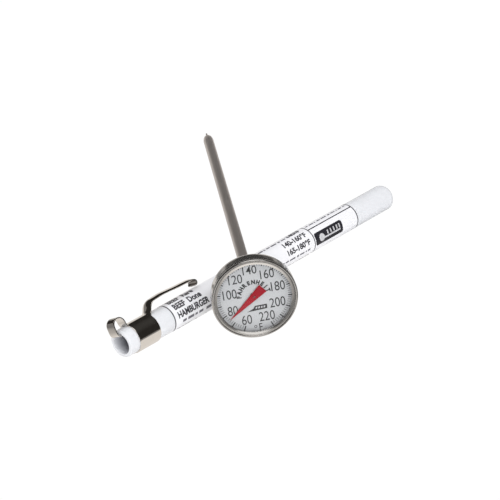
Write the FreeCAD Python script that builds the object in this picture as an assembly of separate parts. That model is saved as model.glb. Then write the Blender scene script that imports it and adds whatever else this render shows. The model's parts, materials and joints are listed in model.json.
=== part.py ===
"""Pocket dial thermometer lying across its pocket sheath.

A bimetal dial thermometer (head, hex calibration nut, thin stem) and the
plastic pocket sheath it is carried in (tube, label, spring clip).
Millimetres, +Z up, the table is z = 0.  The sheath lies along +Y with its
mouth at the -Y end; the thermometer rests on the rim of its head and on the
sheath, with its stem passing over the sheath.

Two local frames are used:
  head frame:    x to the dial's right, y to the dial's top, z out of the dial
                 face; depths are measured along -z from the front of the rim,
                 so FRONT is the smaller depth and BACK the larger
  sheath frame:  z along the tube from the mouth, x sideways, y up; START and
                 END are distances from the mouth
"""

import FreeCAD
import Part
import math
import os

V = FreeCAD.Vector

# ---------------------------------------------------------------- layout
STEM_HEADING = 48.65  # deg, stem direction seen from above, from +Y towards -X
STEM_DIP = 5.1  # deg, slope of the stem down towards its tip
HEAD_POSITION = (46.157, -28.249)  # centre of the front of the rim, in plan
MOUTH_POSITION = (24.397, -66.259)  # centre of the sheath's mouth, in plan

# ---------------------------------------------------------------- head
BEZEL_RADIUS = 13.8  # at the front
BEZEL_BACK_RADIUS = 13.61
BEZEL_BACK = 4.85  # the head stands on this edge
BEAD_RADIUS = 0.35  # rounded front edge of the bezel
LIP_RADIUS = 11.95  # inside of the bezel's wide front lip
LIP_BACK = 0.8
LENS_BACK = 1.4
LENS_RADIUS = 13.3
GASKET_BACK = 1.7  # also the front edge of the cup
DIAL_FRONT = 2.25
DIAL_BACK = DIAL_FRONT + 0.3
SHEET = 0.4  # thickness of the cup
CUP_RADIUS = 13.36
CUP_INNER_RADIUS = CUP_RADIUS - SHEET
CUP_BACK = 5.6
CUP_CORNER = 0.6  # rounding of the cup's back edge
FLOOR_FRONT = CUP_BACK - SHEET  # inside of the floor, outer part
RECESS_DEPTH = 0.3  # the middle of the floor is pressed forward by this
RECESS_RADIUS = 6.0
RECESS_FLOOR_FRONT = FLOOR_FRONT - RECESS_DEPTH
RECESS_FLOOR_BACK = CUP_BACK - RECESS_DEPTH
DIAL_PACK_RADIUS = CUP_INNER_RADIUS - 0.06  # dial plate and its support, loose in the cup

# ---------------------------------------------------------------- nut
RUNNING_CLEARANCE = 0.05
NUT_ACROSS_FLATS = 9.6
NUT_LENGTH = 3.1
NUT_FRONT = RECESS_FLOOR_BACK + RUNNING_CLEARANCE
NUT_BACK = NUT_FRONT + NUT_LENGTH
NUT_CHAMFER = 0.42  # along the axis
NECK_RADIUS = 2.6  # neck of the nut, through the cup's floor
NECK_FRONT = 3.95
COLLAR_BACK = 4.45
WASHER_RADIUS = 4.7
WASHER_THICKNESS = 0.2

# ---------------------------------------------------------------- stem
STEM_RADIUS = 1.85
STEM_INNER_RADIUS = 1.6
STEM_BACK = 127.8  # end of the straight tube
TIP_BACK = 135.4  # end of the nib
PLUG_FRONT = STEM_BACK - 2.0
# nib behind the tube, as (radius, depth) items for turned()
NIB_OUTLINE = [
    ((1.66, 129.9), (1.15, 131.5)),
    ((0.62, 132.35), (0.36, 133.2)),
    (0.32, TIP_BACK - 0.25),
    ((0.22, TIP_BACK - 0.07), (0.0, TIP_BACK)),
]
DIMPLE_DEPTH = 72.2  # the dimple marks where the sensing zone starts
DIMPLE_ANGLE = 102.0  # deg, from +x towards +y
DIMPLE_BALL = 0.75  # radius of the ball that forms it
DIMPLE_SINK = 0.13
SPINDLE_RADIUS = 0.3
GUIDE_RADIUS = 0.34  # bore of the guide bushes
HELIX_FRONT = 77.0
HELIX_BACK = 123.5
HELIX_TURNS = 22
HELIX_RADIUS = 1.12
HELIX_THICKNESS = 0.2  # of the ribbon, radial
HELIX_WIDTH = 1.25  # of the ribbon, axial
HELIX_END_GAP = 0.01

# ---------------------------------------------------------------- pointer
POINTER_ANGLE = -132.6  # deg, from +x towards +y
POINTER_TIP = 10.9
POINTER_TIP_HALF_WIDTH = 0.06
POINTER_TAIL = 3.95
POINTER_TAIL_WIDTH = 3.4
POINTER_THICKNESS = 0.17
POINTER_FRONT = 1.80
POINTER_BACK = POINTER_FRONT + POINTER_THICKNESS
POINTER_HOLE_RADIUS = 0.5
HUB_CAP_RADIUS = 0.8
HUB_CAP_FRONT = POINTER_FRONT - 0.2
HUB_FLANGE_RADIUS = 1.0
HUB_FLANGE_BACK = POINTER_BACK + 0.4

# ---------------------------------------------------------------- sheath
TUBE_RADIUS = 4.5
BORE_RADIUS = 3.4
SHEATH_LENGTH = 133.8
MOUTH_CHAMFER = 0.2  # inner edge of the mouth
MOUTH_ROUNDING = 0.6  # outer edge of the mouth
END_ROUNDING = 2.5  # outer corner of the closed end
END_INNER_ROUNDING = 1.4
BORE_END = SHEATH_LENGTH - 1.1
LABEL_THICKNESS = 0.06
LABEL_START = 19.9
LABEL_END = 112.6

# ---------------------------------------------------------------- clip
CLIP_THICKNESS = 0.38
BAND_START = 3.9
BAND_END = 13.2
CLIP_ANGLE = 57.0  # deg, where arm and loop stand round the tube, from +x towards +y
BAND_GAP_ANGLE = 238.0  # deg, middle of the gap
BAND_GAP = 12.0  # deg, width of the gap
ARM_WIDTH = 4.5
ARM_BLANK_WIDTH = 6.4
LOOP_WIDTH = 3.8
# centre line of the arm: distance from the mouth, distance from the tube's axis
ARM_PATH = [
    (13.1, 4.45), (13.5, 4.62), (14.1, 5.05), (14.6, 5.75), (15.15, 6.6),
    (15.95, 7.4), (16.9, 7.85), (19.3, 8.1), (21.6, 8.2), (24.1, 8.1),
    (28.4, 7.85), (31.8, 7.75), (33.9, 7.62), (35.15, 7.34), (35.9, 6.95),
    (36.3, 6.4), (36.25, 5.85), (35.92, 5.46), (35.4, 5.22),
]
# edge of the arm where it leaves the band: distance from the mouth, half width
ARM_FLARE = [(12.5, 3.1), (13.3, 3.05), (13.6, 2.75), (14.2, 2.42), (15.1, 2.25)]
ARM_END = 36.7
ARM_CORNER_LENGTH = 0.7  # elliptical corners of the arm's end
ARM_CORNER_WIDTH = 0.6
# the loop is a hairpin, its path in the same columns as ARM_PATH:
# a leg rising from the band, a half-round top, and a front leg
LOOP_REAR_LEG = [(4.1, 4.45), (3.75, 4.95), (3.52, 5.5)]
LOOP_CENTRE = (1.2, 5.87)
LOOP_RADIUS = 2.3
# the front leg turns in across the mouth; what passes into the tube is cut off
LOOP_FOOT = [(-1.1, 4.9), (-1.07, 4.1), (-0.93, 3.4), (-0.52, 2.82), (0.08, 2.5), (0.75, 2.36)]

ARC_INSET = 1 - math.sqrt(0.5)  # x and y from a corner to its arc's middle, per unit radius


# ---------------------------------------------------------------- helpers
def outward(solid):
    """Turn the solid's faces outward if they point in."""
    if solid.Volume < 0:
        solid.reverse()
    return solid


def turned(outline, z_sign=-1):
    """Solid of revolution about z from a closed outline of (radius, distance) points.

    Distance is depth in the head frame, or with z_sign=1 distance along +z.
    An item of two pairs is an arc from the previous point: middle, end."""
    def point(pair):
        return V(pair[0], 0, z_sign * pair[1])

    start = here = outline[0]
    edges = []
    for item in outline[1:]:
        if isinstance(item[0], tuple):
            middle, end = item
            arc = Part.Arc(point(here), point(middle), point(end))
            edge = arc.toShape()
            centre_x = edge.Curve.Center.x
            if centre_x < -1e-6 or 1e-6 < centre_x < edge.Curve.Radius:
                edge = arc.toBSpline().toShape()  # the full circle would cross the axis
        else:
            end = item
            edge = Part.makeLine(point(here), point(end))
        edges.append(edge)
        here = end
    if here != start:
        edges.append(Part.makeLine(point(here), point(start)))
    face = Part.Face(Part.Wire(edges))
    return outward(face.revolve(V(0, 0, 0), V(0, 0, 1), 360))


def plain_ring(inner, outer, near, far, z_sign=-1):
    """Ring of rectangular section; with inner = 0 a cylinder in the head frame."""
    if inner > 0:
        return turned([(inner, near), (outer, near), (outer, far), (inner, far)], z_sign)
    return Part.makeCylinder(outer, far - near, V(0, 0, -far))


def closed_polygon(points):
    return Part.makePolygon(points + points[:1])


def prism(points, direction):
    return Part.Face(closed_polygon(points)).extrude(direction)


def strip(path, width):
    """Bent strip of the clip's sheet: path in x, y; width centred on z = 0."""
    curve = Part.BSplineCurve()
    curve.interpolate([V(x, y, 0) for x, y in path])
    first, last = curve.FirstParameter, curve.LastParameter
    steps = 60
    left, right = [], []
    for i in range(steps + 1):
        parameter = first + (last - first) * i / steps
        middle = curve.value(parameter)
        tangent = curve.tangent(parameter)[0]
        normal = V(-tangent.y, tangent.x, 0)
        normal.normalize()
        left.append(middle + normal * (CLIP_THICKNESS / 2))
        right.append(middle - normal * (CLIP_THICKNESS / 2))
    sides = []
    for points in (left, right):
        spline = Part.BSplineCurve()
        spline.interpolate(points)
        sides.append(spline.toShape())
    edges = [sides[0], Part.makeLine(left[-1], right[-1]),
             sides[1], Part.makeLine(right[0], left[0])]
    face = Part.Face(Part.Wire(Part.__sortEdges__(edges)))
    solid = face.extrude(V(0, 0, width))
    solid.translate(V(0, 0, -width / 2))
    return outward(solid)


# ---------------------------------------------------------------- placements
def head_placement():
    dip = math.radians(STEM_DIP)
    # the back edge of the bezel touches the table
    lift = BEZEL_BACK * math.sin(dip) + BEZEL_BACK_RADIUS * math.cos(dip)
    tip_up = FreeCAD.Placement(V(0, 0, 0), FreeCAD.Rotation(V(1, 0, 0), 90 - STEM_DIP))
    turn = FreeCAD.Placement(V(*HEAD_POSITION, lift),
                             FreeCAD.Rotation(V(0, 0, 1), STEM_HEADING))
    return turn.multiply(tip_up)


def sheath_placement():
    # the sheath stands on the clip's band and on the far end of its label
    slope = (CLIP_THICKNESS - LABEL_THICKNESS) / (LABEL_END - BAND_END)
    height = TUBE_RADIUS + LABEL_THICKNESS + LABEL_END * slope
    # local x to -X, local y up, local z to +Y
    lay_down = FreeCAD.Rotation(V(-1, 0, 0), V(0, 0, 1), V(0, 1, 0), "XYZ")
    tilt = FreeCAD.Rotation(V(1, 0, 0), -math.degrees(math.asin(slope)))
    return FreeCAD.Placement(V(*MOUTH_POSITION, height), tilt.multiply(lay_down))


# ---------------------------------------------------------------- thermometer pieces
# piece: inner radius, outer radius, front depth, back depth
PLAIN_HEAD_PIECES = {
    "lens": (0, LENS_RADIUS, LIP_BACK, LENS_BACK),
    "lens_gasket": (12.7, LENS_RADIUS, LENS_BACK, GASKET_BACK),
    "dial_retainer_ring": (12.45, CUP_INNER_RADIUS, GASKET_BACK, DIAL_FRONT),
    "dial_plate": (1.3, DIAL_PACK_RADIUS, DIAL_FRONT, DIAL_BACK),
    "dial_support_ring": (11.7, DIAL_PACK_RADIUS, DIAL_BACK, FLOOR_FRONT),
    "retaining_collar": (NECK_RADIUS, 3.7, NECK_FRONT, COLLAR_BACK),
    "helix_anchor": (0, 1.45, HELIX_BACK, PLUG_FRONT),
    "upper_guide_bush": (GUIDE_RADIUS, STEM_INNER_RADIUS, 9.0, 12.0),
    "lower_guide_bush": (GUIDE_RADIUS, STEM_INNER_RADIUS, 67.5, 70.5),
    "spindle": (0, SPINDLE_RADIUS, POINTER_FRONT - 0.26, HELIX_FRONT - 0.2),
    "helix_collar": (SPINDLE_RADIUS, 1.3, HELIX_FRONT - 3.0, HELIX_FRONT),
}


def bezel_ring():
    bead_inner = BEZEL_RADIUS - 2 * BEAD_RADIUS
    return turned([
        (bead_inner, BEAD_RADIUS), (bead_inner - 0.1, 0.22), (LIP_RADIUS, 0.5),
        (LIP_RADIUS, LIP_BACK), (CUP_RADIUS, LIP_BACK), (CUP_RADIUS, BEZEL_BACK + 0.17),
        ((CUP_RADIUS + 0.17, BEZEL_BACK + 0.12), (BEZEL_BACK_RADIUS, BEZEL_BACK)),
        (BEZEL_RADIUS, BEAD_RADIUS),
        ((BEZEL_RADIUS - BEAD_RADIUS, 0.0), (bead_inner, BEAD_RADIUS)),
    ])


def case_cup():
    inset = CUP_CORNER * ARC_INSET
    hole = NECK_RADIUS + RUNNING_CLEARANCE
    return turned([
        (CUP_INNER_RADIUS, GASKET_BACK), (CUP_RADIUS, GASKET_BACK),
        (CUP_RADIUS, CUP_BACK - CUP_CORNER),
        ((CUP_RADIUS - inset, CUP_BACK - inset), (CUP_RADIUS - CUP_CORNER, CUP_BACK)),
        (RECESS_RADIUS + 0.5, CUP_BACK), (RECESS_RADIUS, RECESS_FLOOR_BACK),
        (hole, RECESS_FLOOR_BACK), (hole, RECESS_FLOOR_FRONT),
        (RECESS_RADIUS - 0.1, RECESS_FLOOR_FRONT), (RECESS_RADIUS + 0.4, FLOOR_FRONT),
        (CUP_INNER_RADIUS, FLOOR_FRONT),
    ])


def calibration_nut():
    corner = NUT_ACROSS_FLATS / math.sqrt(3)
    angles = [math.radians(60 * i) for i in range(6)]
    hexagon = [V(corner * math.cos(a), corner * math.sin(a), 0) for a in angles]
    body = prism(hexagon, V(0, 0, -NUT_LENGTH))
    body.translate(V(0, 0, -NUT_FRONT))
    # chamfer the corners of both faces
    face_radius = NUT_ACROSS_FLATS / 2 - 0.1
    beyond = corner + 0.05
    body = body.common(turned([
        (0, NUT_FRONT), (face_radius, NUT_FRONT), (beyond, NUT_FRONT + NUT_CHAMFER),
        (beyond, NUT_BACK - NUT_CHAMFER), (face_radius, NUT_BACK), (0, NUT_BACK),
    ]))
    neck = plain_ring(0, NECK_RADIUS, NECK_FRONT, NUT_FRONT + 0.5)
    stem_hole = plain_ring(0, STEM_RADIUS, NECK_FRONT - 1, NUT_BACK + 1)
    return body.fuse(neck).cut(stem_hole).removeSplitter()


def friction_washer():
    """Conical washer between the collar and the cup's floor."""
    inner_front = COLLAR_BACK + 0.01
    outer_back = RECESS_FLOOR_FRONT - 0.02
    return turned([
        (NECK_RADIUS, inner_front), (NECK_RADIUS, inner_front + WASHER_THICKNESS),
        (WASHER_RADIUS, outer_back), (WASHER_RADIUS, outer_back - WASHER_THICKNESS),
    ])


def stem_tube():
    tube = plain_ring(STEM_INNER_RADIUS, STEM_RADIUS, NECK_FRONT, STEM_BACK)
    angle = math.radians(DIMPLE_ANGLE)
    offset = STEM_RADIUS + DIMPLE_BALL - DIMPLE_SINK
    centre = V(offset * math.cos(angle), offset * math.sin(angle), -DIMPLE_DEPTH)
    return tube.cut(Part.makeSphere(DIMPLE_BALL, centre))


def tip_plug():
    return turned([
        (0, PLUG_FRONT), (STEM_INNER_RADIUS, PLUG_FRONT),
        (STEM_INNER_RADIUS, STEM_BACK), (STEM_RADIUS, STEM_BACK),
    ] + NIB_OUTLINE)


def bimetal_helix():
    height = HELIX_BACK - HELIX_FRONT - HELIX_WIDTH - 2 * HELIX_END_GAP
    spine = Part.makeHelix(height / HELIX_TURNS, height, HELIX_RADIUS)
    inner = HELIX_RADIUS - HELIX_THICKNESS / 2
    outer = HELIX_RADIUS + HELIX_THICKNESS / 2
    half = HELIX_WIDTH / 2
    section = closed_polygon([V(inner, 0, -half), V(outer, 0, -half),
                              V(outer, 0, half), V(inner, 0, half)])
    coil = outward(Part.Wire(spine.Edges).makePipeShell([section], True, True))
    coil.translate(V(0, 0, -(HELIX_BACK - half - HELIX_END_GAP)))
    return coil


def pointer():
    angle = math.radians(POINTER_ANGLE)
    cosine, sine = math.cos(angle), math.sin(angle)
    half_tail = POINTER_TAIL_WIDTH / 2
    # along the pointer, across it
    corners = [(POINTER_TIP, POINTER_TIP_HALF_WIDTH), (POINTER_TIP, -POINTER_TIP_HALF_WIDTH),
               (-POINTER_TAIL, -half_tail), (-POINTER_TAIL, half_tail)]
    points = [V(along * cosine - across * sine, along * sine + across * cosine, -POINTER_BACK)
              for along, across in corners]
    hole = plain_ring(0, POINTER_HOLE_RADIUS, POINTER_FRONT - 1, POINTER_FRONT + 1)
    return prism(points, V(0, 0, POINTER_THICKNESS)).cut(hole)


def pointer_hub():
    return turned([
        (SPINDLE_RADIUS, HUB_CAP_FRONT), (HUB_CAP_RADIUS, HUB_CAP_FRONT),
        (HUB_CAP_RADIUS, POINTER_FRONT), (POINTER_HOLE_RADIUS, POINTER_FRONT),
        (POINTER_HOLE_RADIUS, POINTER_BACK), (HUB_FLANGE_RADIUS, POINTER_BACK),
        (HUB_FLANGE_RADIUS, HUB_FLANGE_BACK), (SPINDLE_RADIUS, HUB_FLANGE_BACK),
    ])


# ---------------------------------------------------------------- sheath pieces
def sheath_tube():
    mouth = MOUTH_ROUNDING * ARC_INSET
    end = END_ROUNDING * ARC_INSET
    inner = END_INNER_ROUNDING * ARC_INSET
    return turned([
        (BORE_RADIUS + MOUTH_CHAMFER, 0.0), (TUBE_RADIUS - MOUTH_ROUNDING, 0.0),
        ((TUBE_RADIUS - mouth, mouth), (TUBE_RADIUS, MOUTH_ROUNDING)),
        (TUBE_RADIUS, SHEATH_LENGTH - END_ROUNDING),
        ((TUBE_RADIUS - end, SHEATH_LENGTH - end), (TUBE_RADIUS - END_ROUNDING, SHEATH_LENGTH)),
        (0.0, SHEATH_LENGTH), (0.0, BORE_END), (BORE_RADIUS - END_INNER_ROUNDING, BORE_END),
        ((BORE_RADIUS - inner, BORE_END - inner), (BORE_RADIUS, BORE_END - END_INNER_ROUNDING)),
        (BORE_RADIUS, MOUTH_CHAMFER),
    ], z_sign=1)


def label_sleeve():
    return plain_ring(TUBE_RADIUS, TUBE_RADIUS + LABEL_THICKNESS, LABEL_START, LABEL_END, 1)


def clip_band():
    """Band round the tube, open at a narrow gap."""
    band = plain_ring(TUBE_RADIUS, TUBE_RADIUS + CLIP_THICKNESS, BAND_START, BAND_END, 1)
    middle = math.radians(BAND_GAP_ANGLE)
    half = math.radians(BAND_GAP / 2)
    reach = 9  # past the outside of the band
    wedge = [V(0, 0, 0)] + [V(reach * math.cos(a), reach * math.sin(a), 0)
                            for a in (middle - half, middle + half)]
    return band.cut(prism(wedge, V(0, 0, 20)))


def clip_arm():
    """Arm in the strip frame, trimmed to its outline seen along the radius."""
    edge = list(ARM_FLARE)
    for i in range(9):
        angle = math.radians(11.25 * i)
        edge.append((ARM_END - ARM_CORNER_LENGTH * (1 - math.sin(angle)),
                     ARM_WIDTH / 2 - ARM_CORNER_WIDTH * (1 - math.cos(angle))))
    outline = [V(x, 0, z) for x, z in edge] + [V(x, 0, -z) for x, z in reversed(edge)]
    return strip(ARM_PATH, ARM_BLANK_WIDTH).common(prism(outline, V(0, 20, 0)))


def clip_loop():
    top = []
    for i in range(9):
        angle = math.radians(180 * i / 8)
        top.append((LOOP_CENTRE[0] + LOOP_RADIUS * math.cos(angle),
                    LOOP_CENTRE[1] + LOOP_RADIUS * math.sin(angle)))
    return strip(LOOP_REAR_LEG + top + LOOP_FOOT, LOOP_WIDTH)


def pocket_clip():
    # strip frame: x along the tube, y radially outward, z across the strip
    angle = math.radians(CLIP_ANGLE)
    along = V(0, 0, 1)
    radial = V(math.cos(angle), math.sin(angle), 0)
    rotation = FreeCAD.Rotation(along, radial, along.cross(radial), "XYZ")
    matrix = FreeCAD.Placement(V(0, 0, 0), rotation).toMatrix()
    strips = [part.transformed(matrix) for part in (clip_arm(), clip_loop())]
    tube_space = Part.makeCylinder(TUBE_RADIUS, 60, V(0, 0, 0))
    clip = clip_band().fuse(strips).cut(tube_space)
    # keep the clip itself, without any loose offcut
    return max(clip.Solids, key=lambda solid: solid.Volume).removeSplitter()


# ---------------------------------------------------------------- write
def write(name, solid, placement):
    shape = solid.transformed(placement.toMatrix())
    if shape.ShapeType == "Compound" and len(shape.Solids) == 1:
        shape = shape.Solids[0]
    shape.exportStep("parts/" + name + ".step")


os.makedirs("parts", exist_ok=True)
head = head_placement()
sheath = sheath_placement()
for name, sizes in PLAIN_HEAD_PIECES.items():
    write(name, plain_ring(*sizes), head)
for build in (bezel_ring, case_cup, calibration_nut, friction_washer, stem_tube,
              tip_plug, bimetal_helix, pointer, pointer_hub):
    write(build.__name__, build(), head)
for build in (sheath_tube, label_sleeve, pocket_clip):
    write(build.__name__, build(), sheath)
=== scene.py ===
"""A pocket dial thermometer lying across its sheath.

Shapes are drawn in millimetres in one of two frames and placed in metres.
Head frame: origin at the centre of the rim, z out of the dial along the stem's line (the stem
runs to -z), x level, y up.  "Depth" is distance below the rim, so z = -depth.
Sheath frame: origin at the mouth, z towards the closed end, x level, y up.
"""
import bpy
import bmesh
import json
import math
import numpy as np
from mathutils import Matrix, Vector


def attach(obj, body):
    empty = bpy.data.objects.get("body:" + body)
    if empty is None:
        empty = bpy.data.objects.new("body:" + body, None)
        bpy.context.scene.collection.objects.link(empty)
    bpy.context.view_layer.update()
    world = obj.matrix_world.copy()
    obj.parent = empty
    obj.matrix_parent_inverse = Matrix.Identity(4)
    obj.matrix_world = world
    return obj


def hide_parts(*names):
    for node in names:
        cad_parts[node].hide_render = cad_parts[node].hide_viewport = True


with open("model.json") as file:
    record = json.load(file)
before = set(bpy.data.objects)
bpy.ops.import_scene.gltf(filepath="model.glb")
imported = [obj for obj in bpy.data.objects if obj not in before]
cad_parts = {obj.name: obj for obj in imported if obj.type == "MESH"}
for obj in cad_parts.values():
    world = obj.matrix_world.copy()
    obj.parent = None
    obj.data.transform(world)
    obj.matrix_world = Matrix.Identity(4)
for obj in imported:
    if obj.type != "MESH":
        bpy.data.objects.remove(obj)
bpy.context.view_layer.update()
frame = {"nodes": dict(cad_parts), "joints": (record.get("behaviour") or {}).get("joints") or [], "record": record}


joints = {joint["name"]: joint for joint in frame["joints"]}
mounts = {mount["name"]: mount for mount in frame["record"]["mounts"]}
cad_pieces = frame["nodes"]

# ------------------------------------------------------------------ frames
UP = Vector((0, 0, 1))
JOINT_TO_RIM = 0.005        # metres, from the calibration joint back to the rim
MOUNT_TO_MOUTH = 0.0002     # metres, from the sheath mount out to the mouth


def frame_matrix(z_axis, x_axis, origin):
    matrix = np.eye(4)
    for column, vector in enumerate((x_axis, z_axis.cross(x_axis), z_axis, origin)):
        matrix[:3, column] = vector
    return matrix


stem_dir = Vector(joints["calibration_turn"]["axis"]).normalized()
rim = Vector(joints["calibration_turn"]["pos_m"]) - stem_dir * JOINT_TO_RIM
HEAD_FRAME = frame_matrix(-stem_dir, stem_dir.cross(UP).normalized(), rim)

sheath_dir = -Vector(mounts["sheath_mouth"]["axis"]).normalized()
mouth = Vector(mounts["sheath_mouth"]["pos_m"]) - sheath_dir * MOUNT_TO_MOUTH
SHEATH_FRAME = frame_matrix(sheath_dir, UP.cross(sheath_dir).normalized(), mouth)

BODY_FRAMES = {"head": HEAD_FRAME, "pointer": HEAD_FRAME, "stem": HEAD_FRAME,
               "sheath": SHEATH_FRAME}
CLIP_ANGLE = math.radians(57.0)     # where the clip's arm stands round the sheath


# ------------------------------------------------------------------ mesh helpers
def add_piece(name, body, mesh, materials, replaced=None, sharp=32.0, face_material=None):
    """A mesh object from (vertices, faces) in mm; keeps the mm as attribute lc for materials."""
    points, faces = mesh
    points = np.asarray(points, float)
    matrix = BODY_FRAMES[body]
    placed = points * 0.001 @ matrix[:3, :3].T + matrix[:3, 3]
    data = bpy.data.meshes.new(name)
    data.from_pydata([tuple(p) for p in placed], [], [tuple(int(i) for i in f) for f in faces])
    data.update()
    attribute = data.attributes.new("lc", "FLOAT_VECTOR", "POINT")
    attribute.data.foreach_set("vector", points.astype(np.float32).ravel())
    bm = bmesh.new()
    bm.from_mesh(data)
    bmesh.ops.recalc_face_normals(bm, faces=bm.faces)
    if bm.calc_volume(signed=True) < 0:
        bmesh.ops.reverse_faces(bm, faces=bm.faces)
    bm.to_mesh(data)
    bm.free()
    data.shade_smooth()
    data.set_sharp_from_angle(angle=math.radians(sharp))
    piece = bpy.data.objects.new(name, data)
    bpy.context.scene.collection.objects.link(piece)
    for material in materials if isinstance(materials, list) else [materials]:
        data.materials.append(material)
    if face_material:
        for polygon in data.polygons:
            polygon.material_index = face_material(polygon.center)
    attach(piece, body)
    if replaced:
        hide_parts(replaced)
    return piece


def bridge(rows, closed=True):
    """Quads between closed rows of vertex numbers; closed also joins the last row to the first."""
    faces = []
    count = len(rows[0])
    for row, following in zip(rows, rows[1:] + (rows[:1] if closed else [])):
        if row[0] == row[-1] and following[0] == following[-1]:
            continue    # both rows are single points on the axis
        for k in range(count):
            after = (k + 1) % count
            corners = (row[k], row[after], following[after], following[k])
            face = list(dict.fromkeys(corners))
            if len(face) > 2:
                faces.append(face)
    return faces


def lathe(outline, segments):
    """Closed outline of (radius, z) turned round z.  Points on the axis become one vertex."""
    points, rows = [], []
    angles = np.linspace(0, 2 * math.pi, segments, endpoint=False)
    for radius, z in outline:
        if radius < 1e-7:
            rows.append([len(points)] * segments)
            points.append((0.0, 0.0, z))
        else:
            rows.append(list(range(len(points), len(points) + segments)))
            points += [(radius * math.cos(a), radius * math.sin(a), z) for a in angles]
    return points, bridge(rows)


def lathe_down(outline, segments):
    """Closed outline of (radius, depth) turned round the head's axis."""
    return lathe([(radius, -depth) for radius, depth in outline], segments)


def rounded(corners, steps=6):
    """Closed outline of (radius, depth) from (radius, depth, fillet radius) corners."""
    outline = []
    for i, (radius, depth, fillet) in enumerate(corners):
        corner = np.array([radius, depth])
        if fillet <= 0:
            outline.append(corner)
            continue
        before = np.array(corners[i - 1][:2]) - corner
        after = np.array(corners[(i + 1) % len(corners)][:2]) - corner
        before_length, after_length = np.linalg.norm(before), np.linalg.norm(after)
        before, after = before / before_length, after / after_length
        half = math.acos(max(-1, min(1, before @ after))) / 2
        reach = min(fillet / math.tan(half), 0.48 * before_length, 0.48 * after_length)
        bend = reach * math.tan(half)
        middle = before + after
        centre = corner + middle / np.linalg.norm(middle) * bend / math.sin(half)
        start, end = corner + before * reach - centre, corner + after * reach - centre
        start_angle = math.atan2(start[1], start[0])
        turn = math.atan2(end[1], end[0]) - start_angle
        turn = (turn + math.pi) % (2 * math.pi) - math.pi
        for k in range(steps + 1):
            angle = start_angle + turn * k / steps
            outline.append(centre + bend * np.array([math.cos(angle), math.sin(angle)]))
    return [(float(max(point[0], 0.0)), float(point[1])) for point in outline]


def arc(x, y, radius, start, end, count):
    """Points on an arc about (x, y), angles in degrees."""
    return [(x + radius * math.cos(math.radians(a)), y + radius * math.sin(math.radians(a)))
            for a in np.linspace(start, end, count)]


def turned(points, angle, x=0.0, y=0.0):
    """Points turned in the xy plane about the origin, then moved by (x, y)."""
    points = np.array(points, float)
    c, s = math.cos(angle), math.sin(angle)
    across = points[:, 0] * c - points[:, 1] * s + x
    points[:, 1] = points[:, 0] * s + points[:, 1] * c + y
    points[:, 0] = across
    return points


# ------------------------------------------------------------------ shader helpers
def add_node(tree, kind, inputs=None, **settings):
    """A shader node; each input is given a value, or a socket to link from."""
    node = tree.nodes.new("ShaderNode" + kind)
    for key, value in settings.items():
        setattr(node, key, value)
    for key, value in (inputs or {}).items():
        if isinstance(value, bpy.types.NodeSocket):
            tree.links.new(value, node.inputs[key])
        else:
            node.inputs[key].default_value = value
    return node


def do_math(tree, operation, *values):
    return add_node(tree, "Math", dict(enumerate(values)), operation=operation).outputs[0]


def vector_math(tree, operation, *values):
    node = add_node(tree, "VectorMath", dict(enumerate(values)), operation=operation)
    return node.outputs["Value" if operation in ("LENGTH", "DOT_PRODUCT") else "Vector"]


def map_range(tree, value, source=(0.0, 1.0), target=(0.0, 1.0), **settings):
    inputs = {"Value": value, "From Min": source[0], "From Max": source[1],
              "To Min": target[0], "To Max": target[1]}
    return add_node(tree, "MapRange", inputs, **settings).outputs[0]


def smooth_step(tree, value, source):
    return map_range(tree, value, source, interpolation_type="SMOOTHSTEP")


def mix(tree, data_type, factor, first, second, **settings):
    """Blend of two numbers (FLOAT) or colours (RGBA)."""
    # socket numbers, as the Mix node has one set of sockets for each data type
    first_in, second_in, result = {"FLOAT": (2, 3, 0), "RGBA": (6, 7, 2)}[data_type]
    inputs = {"Factor": factor, first_in: first, second_in: second}
    return add_node(tree, "Mix", inputs, data_type=data_type, **settings).outputs[result]


def mix_shader(tree, factor, first, second):
    return add_node(tree, "MixShader", {"Fac": factor, 1: first, 2: second}).outputs[0]


def noise(tree, vector, scale, detail, roughness=0.5):
    inputs = {"Vector": vector, "Scale": scale, "Detail": detail, "Roughness": roughness}
    return add_node(tree, "TexNoise", inputs).outputs["Fac"]


def grey(level):
    return (level, level, level)


def opaque(colour):
    return (*colour, 1.0)


def ramp(tree, factor, stops):
    """Colour ramp through (position, colour) stops."""
    node = add_node(tree, "ValToRGB", {"Fac": factor})
    elements = node.color_ramp.elements
    while len(elements) > 1:
        elements.remove(elements[-1])
    elements[0].position, elements[0].color = stops[0][0], opaque(stops[0][1])
    for position, colour in stops[1:]:
        elements.new(position).color = opaque(colour)
    return node.outputs["Color"]


def varied(tree, factor, colour, spread):
    """The colour, darker and lighter by the given share."""
    dark = [max(0, c * (1 - spread)) for c in colour]
    light = [min(1, c * (1 + spread)) for c in colour]
    return ramp(tree, factor, [(0.3, dark), (0.7, light)])


def bump(tree, height, strength, distance=0.00002):
    inputs = {"Height": height, "Strength": strength, "Distance": distance}
    return add_node(tree, "Bump", inputs).outputs[0]


def own_mm(tree):
    """A built piece's own coordinates in mm."""
    return add_node(tree, "Attribute", attribute_name="lc").outputs["Vector"]


def object_mm(tree):
    """Object coordinates in mm, for CAD pieces, which have no lc attribute."""
    place = add_node(tree, "TexCoord").outputs["Object"]
    return add_node(tree, "VectorMath", {0: place, "Scale": 1000.0}, operation="SCALE").outputs[0]


def separate(tree, vector):
    return add_node(tree, "SeparateXYZ", {0: vector}).outputs


def axis_distance(tree, axes):
    """Distance from the z axis."""
    flat = add_node(tree, "CombineXYZ", {"X": axes["X"], "Y": axes["Y"]}).outputs[0]
    return vector_math(tree, "LENGTH", flat)


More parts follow.
